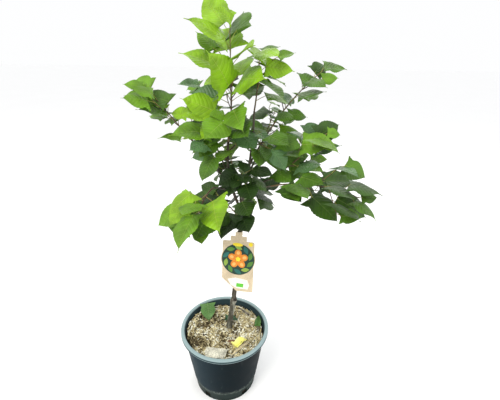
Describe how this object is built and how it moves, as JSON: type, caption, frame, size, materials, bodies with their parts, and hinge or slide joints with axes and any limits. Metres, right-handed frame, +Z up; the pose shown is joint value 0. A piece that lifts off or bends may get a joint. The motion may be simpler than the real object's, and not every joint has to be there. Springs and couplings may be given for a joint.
{
  "type": "potted dwarf apricot tree",
  "caption": "Young dwarf fruit tree on a slim leaning trunk in a round tapered nursery pot, with broad heart-shaped leaves on spreading branches and a card tag on its trunk.",
  "frame": {"origin": "centre of the pot's flat underside", "axes": "+Z up along the pot's axis; +X to the right as seen from the tree's front; -Y out of its front, where the card tag hangs"},
  "size_m": [0.6187, 0.4832, 1.151],
  "materials": {
    "pot": "matt dark slate-blue moulded plastic with a lighter rim",
    "mulch": "rough chips and fibres of pale wood",
    "bark": "smooth grey-brown young bark",
    "card": "printed kraft card",
    "leaf": "soft satin green leaf",
    "leaf_bright": "soft satin yellow-green young leaf",
    "leaf_dark": "soft satin dark green leaf",
    "leaf_yellow": "dry yellow fallen leaf",
    "wood_chip": "bleached grey wood"
  },
  "bodies": {
    "root": {"pot": "pot", "mulch": "mulch", "trunk": "bark", "leader_left": "bark", "leader_right": "bark", "bough_left": "bark", "bough_low_left": "bark", "bough_right_up": "bark", "bough_right": "bark", "bough_low_right": "bark", "bough_back_left": "bark", "bough_back_right": "bark", "bough_back": "bark", "bough_front": "bark", "label_band": "card", "label_card": "card", "fallen_leaf_left": "leaf", "fallen_leaf_back": "leaf", "fallen_leaf_right": "leaf_dark", "fallen_leaf_yellow": "leaf_yellow", "wood_chip": "wood_chip", "leaves_top_left": "leaf_bright", "leaves_left_mid": "leaf_bright", "leaves_front_mid": "leaf_bright", "leaves_left_inner": "leaf", "leaves_back_high": "leaf", "leaves_back_mid": "leaf", "leaves_left": "leaf", "leaves_low_left": "leaf_bright", "leaves_top_right": "leaf", "leaves_centre_front": "leaf", "leaves_centre_low": "leaf_dark", "leaves_right_up": "leaf", "leaves_right": "leaf", "leaves_low_right": "leaf", "leaves_back_left": "leaf", "leaves_back_right": "leaf", "leaves_back": "leaf", "leaves_front_low": "leaf_dark", "leaves_back_low_left": "leaf_dark", "leaves_back_low_right": "leaf_dark"}
  },
  "joints": []
}
